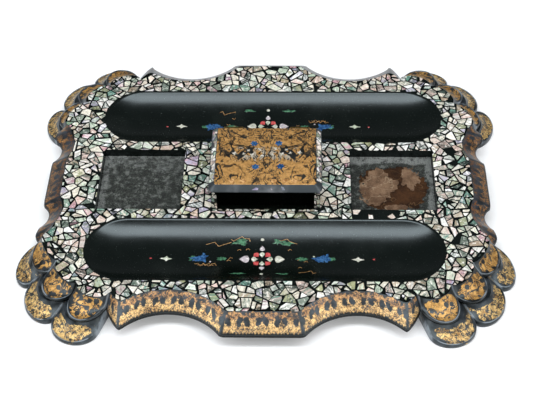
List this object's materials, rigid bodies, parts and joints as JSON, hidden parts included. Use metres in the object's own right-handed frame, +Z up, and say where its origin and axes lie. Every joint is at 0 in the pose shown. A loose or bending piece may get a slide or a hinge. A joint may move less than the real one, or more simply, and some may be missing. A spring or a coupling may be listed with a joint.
{
  "type": "inkstand",
  "caption": "Shaped lacquer desk inkstand: shell-mosaic tray with pen troughs, square ink-bottle wells, scalloped corner fans and a raised centre box with a rear-hinged lid.",
  "frame": {"origin": "middle of the tray's footprint, on the surface it stands on", "axes": "+Z up, -Y towards the front edge, +X to the right as the user sees it"},
  "size_m": [0.3442, 0.2754, 0.0437],
  "materials": {
    "baize": "matte",
    "pearl_shell": "polished",
    "gilt_rim": "gloss",
    "gilt_fan": "gloss",
    "gilt_lid": "gloss",
    "black_lacquer": "gloss",
    "felt": "matte",
    "bare_paper": "matte",
    "bare_board": "matte",
    "lining_paper": "matte",
    "brass": "satin"
  },
  "bodies": {
    "tray": {"base_baize": "baize", "base_board": "black_lacquer", "tray_deck": "black_lacquer", "shell_mosaic": "pearl_shell", "rim_front": "gilt_rim", "rim_back": "gilt_rim", "rim_left": "gilt_rim", "rim_right": "gilt_rim", "fan_upper_front_left": "gilt_fan", "fan_upper_front_right": "gilt_fan", "fan_upper_back_left": "gilt_fan", "fan_upper_back_right": "gilt_fan", "fan_lower_front_left": "gilt_fan", "fan_lower_front_right": "gilt_fan", "fan_lower_back_left": "gilt_fan", "fan_lower_back_right": "gilt_fan", "pen_trough_front": "black_lacquer", "pen_trough_back": "black_lacquer", "trough_inlay_front": "pearl_shell", "trough_inlay_back": "pearl_shell", "ink_well_left": "black_lacquer", "ink_well_right": "black_lacquer", "well_felt_left": "felt", "well_felt_right": "felt", "well_paper_right": "bare_paper", "well_board_right": "bare_board", "box_wall_left": "black_lacquer", "box_wall_right": "black_lacquer", "box_wall_back": "black_lacquer", "box_floor": "black_lacquer", "box_shell_edges": "pearl_shell", "box_sill": "pearl_shell", "hinge_leaf_box_left": "brass", "hinge_leaf_box_right": "brass", "hinge_pin_left": "brass", "hinge_pin_right": "brass", "hinge_nails_box": "brass"},
    "lid": {"lid_panel": "black_lacquer", "lid_gilt_top": "gilt_lid", "lid_shell_bevel": "pearl_shell", "lid_lining": "lining_paper", "hinge_leaf_lid_left": "brass", "hinge_leaf_lid_right": "brass", "hinge_nails_lid": "brass"}
  },
  "joints": [
    {"name": "lid_hinge", "type": "hinge", "parent": "tray", "child": "lid", "pos_m": [0, 0.0295, 0.0395], "axis": [-1, 0, 0], "range_deg": [0, 100]}
  ]
}
